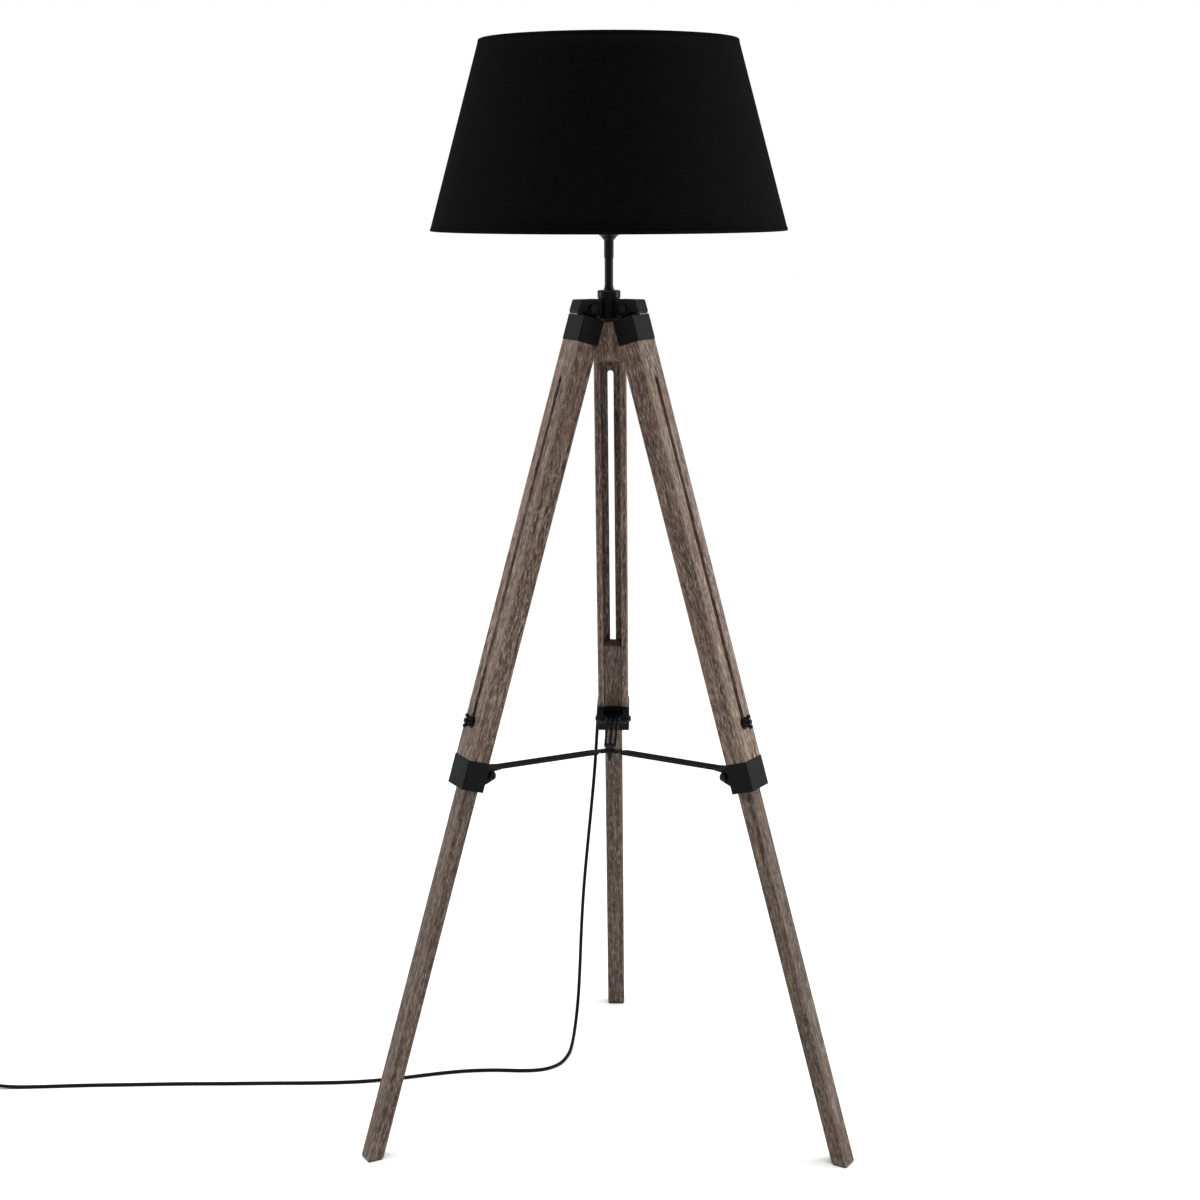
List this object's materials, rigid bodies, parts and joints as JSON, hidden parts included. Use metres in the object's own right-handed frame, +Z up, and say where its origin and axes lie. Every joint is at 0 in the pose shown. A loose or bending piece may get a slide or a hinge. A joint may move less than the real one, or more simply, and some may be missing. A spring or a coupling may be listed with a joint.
{
  "type": "tripod floor lamp",
  "caption": "Free-standing tripod floor lamp with folding telescopic wooden legs, a steel spreader and a tapered drum shade of dark cloth, with a cord, foot switch and plug.",
  "frame": {"origin": "on the lamp's axis, at floor level, midway between the three feet", "axes": "+Z up along the lamp's stem; +Y toward the rear leg; -Y toward the front, between the left and right legs; +X to the right"},
  "size_m": [1.4098, 0.6026, 1.45],
  "materials": {
    "stained_wood": "matte stain",
    "moulded_black": "satin",
    "black_steel": "satin powder coat",
    "black_zinc": "blackened",
    "shade_cloth": "woven",
    "shade_liner": "matt white",
    "white_wire": "gloss",
    "foot_felt": "matt",
    "cord_sheath": "matt",
    "switch_black": "moulded",
    "bulb_opal": "opal",
    "bulb_metal": "rolled",
    "plug_brass": "plated",
    "rivet_copper": "worn"
  },
  "bodies": {
    "head": {"head_hub": "black_steel", "hinge_bolts": "black_zinc", "hinge_nuts": "black_zinc", "stem_collar": "black_steel", "stem_tube": "black_steel", "stem_nut": "black_zinc", "stem_sleeve": "black_steel", "holder_cup": "black_steel", "lamp_holder": "moulded_black", "shade_ring_nut": "moulded_black", "shade_carrier": "white_wire", "shade_top_ring": "white_wire", "shade_lining": "shade_liner", "shade_fabric": "shade_cloth", "bulb_cap": "bulb_metal", "bulb_glass": "bulb_opal", "cord_gland": "cord_sheath", "mains_cord": "cord_sheath", "mains_cord_coil": "cord_sheath", "cord_tail": "cord_sheath", "cord_switch_base": "switch_black", "cord_switch_cover": "switch_black", "plug_body": "switch_black", "plug_pins": "plug_brass"},
    "upper_leg_rear": {"upper_leg_rear": "stained_wood", "leg_cap_rear": "moulded_black", "leg_sleeve_rear": "moulded_black", "arm_pin_rear": "black_zinc", "cord_clips": "moulded_black"},
    "lower_leg_rear": {"lower_leg_rear": "stained_wood", "foot_pad_rear": "foot_felt", "clamp_bolt_rear": "black_zinc", "clamp_washer_rear": "black_zinc"},
    "wing_nut_rear": {"wing_nut_rear": "black_zinc"},
    "spreader_arm_rear": {"spreader_arm_rear": "black_steel", "spreader_hub": "black_steel", "hub_rivets": "rivet_copper", "hub_bolt": "black_zinc"},
    "upper_leg_left": {"upper_leg_left": "stained_wood", "leg_cap_left": "moulded_black", "leg_sleeve_left": "moulded_black", "arm_pin_left": "black_zinc"},
    "lower_leg_left": {"lower_leg_left": "stained_wood", "foot_pad_left": "foot_felt", "clamp_bolt_left": "black_zinc", "clamp_washer_left": "black_zinc"},
    "wing_nut_left": {"wing_nut_left": "black_zinc"},
    "spreader_arm_left": {"spreader_arm_left": "black_steel"},
    "upper_leg_right": {"upper_leg_right": "stained_wood", "leg_cap_right": "moulded_black", "leg_sleeve_right": "moulded_black", "arm_pin_right": "black_zinc"},
    "lower_leg_right": {"lower_leg_right": "stained_wood", "foot_pad_right": "foot_felt", "clamp_bolt_right": "black_zinc", "clamp_washer_right": "black_zinc"},
    "wing_nut_right": {"wing_nut_right": "black_zinc"},
    "spreader_arm_right": {"spreader_arm_right": "black_steel"},
    "hub_wing_nut": {"hub_wing_nut": "black_zinc"},
    "cord_switch_rocker": {"cord_switch_rocker": "switch_black"}
  },
  "joints": [
    {"name": "leg_fold_rear", "type": "hinge", "parent": "head", "child": "upper_leg_rear", "pos_m": [0, 0.0295, 1.112], "axis": [-1, 0, 0], "range_deg": [0, 12]},
    {"name": "leg_slide_rear", "type": "slide", "parent": "upper_leg_rear", "child": "lower_leg_rear", "axis": [0, -0.2882, 0.9576], "range_m": [0, 0.43]},
    {"name": "wing_nut_turn_rear", "type": "hinge", "parent": "lower_leg_rear", "child": "wing_nut_rear", "pos_m": [0, 0.21004, 0.58152], "axis": [0, 0.9576, 0.2882], "range_deg": [0, 270]},
    {"name": "arm_fold_rear", "type": "hinge", "parent": "upper_leg_rear", "child": "spreader_arm_rear", "pos_m": [0, 0.18742, 0.50851], "axis": [1, 0, 0], "range_deg": [0, 87.08]},
    {"name": "leg_fold_left", "type": "hinge", "parent": "head", "child": "upper_leg_left", "pos_m": [-0.02555, -0.01475, 1.112], "axis": [0.5, -0.866, 0], "range_deg": [0, 12]},
    {"name": "leg_slide_left", "type": "slide", "parent": "upper_leg_left", "child": "lower_leg_left", "axis": [0.2496, 0.1441, 0.9576], "range_m": [0, 0.43]},
    {"name": "wing_nut_turn_left", "type": "hinge", "parent": "lower_leg_left", "child": "wing_nut_left", "pos_m": [-0.1819, -0.10502, 0.58152], "axis": [-0.8293, -0.4788, 0.2882], "range_deg": [0, 270]},
    {"name": "arm_fold_left", "type": "hinge", "parent": "upper_leg_left", "child": "spreader_arm_left", "pos_m": [-0.16231, -0.09371, 0.50851], "axis": [-0.5, 0.866, 0], "range_deg": [0, 87.08]},
    {"name": "leg_fold_right", "type": "hinge", "parent": "head", "child": "upper_leg_right", "pos_m": [0.02555, -0.01475, 1.112], "axis": [0.5, 0.866, 0], "range_deg": [0, 12]},
    {"name": "leg_slide_right", "type": "slide", "parent": "upper_leg_right", "child": "lower_leg_right", "axis": [-0.2496, 0.1441, 0.9576], "range_m": [0, 0.43]},
    {"name": "wing_nut_turn_right", "type": "hinge", "parent": "lower_leg_right", "child": "wing_nut_right", "pos_m": [0.1819, -0.10502, 0.58152], "axis": [0.8293, -0.4788, 0.2882], "range_deg": [0, 270]},
    {"name": "arm_fold_right", "type": "hinge", "parent": "upper_leg_right", "child": "spreader_arm_right", "pos_m": [0.16231, -0.09371, 0.50851], "axis": [-0.5, -0.866, 0], "range_deg": [0, 87.08]},
    {"name": "hub_nut_turn", "type": "hinge", "parent": "spreader_arm_rear", "child": "hub_wing_nut", "pos_m": [0, 0, 0.505], "axis": [0, 0, -1], "range_deg": [0, 270]},
    {"name": "switch_rocker_tilt", "type": "hinge", "parent": "head", "child": "cord_switch_rocker", "pos_m": [-0.952, 0.0165, 0.0135], "axis": [0, -1, 0], "range_deg": [0, 14]}
  ],
  "couplings": [
    {"joint": "arm_fold_rear", "follows": "leg_fold_rear", "ratio": 7.24},
    {"joint": "arm_fold_left", "follows": "leg_fold_left", "ratio": 7.24},
    {"joint": "arm_fold_right", "follows": "leg_fold_right", "ratio": 7.24}
  ]
}
